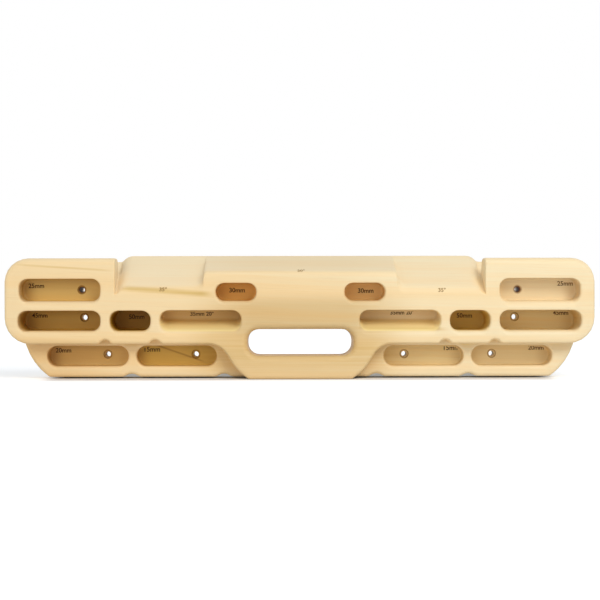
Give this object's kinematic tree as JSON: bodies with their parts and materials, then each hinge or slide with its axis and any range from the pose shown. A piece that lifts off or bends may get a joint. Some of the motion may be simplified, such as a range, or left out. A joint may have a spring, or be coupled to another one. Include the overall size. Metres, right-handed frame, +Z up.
{
  "type": "hangboard",
  "caption": "Wooden climbing fingerboard with rounded finger pockets, sloping top holds, rear jugs and a central grip bar, screwed flat to a wall.",
  "frame": {"origin": "middle of the flat back face, which lies on the wall, at half the board's height", "axes": "+X along the board to the right as a climber sees it, +Y into the wall, +Z up"},
  "size_m": [0.7, 0.058, 0.148],
  "materials": {
    "front_board": "fine sanded bare tulipwood",
    "middle_board": "fine sanded bare tulipwood",
    "back_board": "fine sanded bare tulipwood"
  },
  "bodies": {
    "root": {"front_board": "front_board", "middle_board": "middle_board", "back_board": "back_board"}
  },
  "joints": []
}
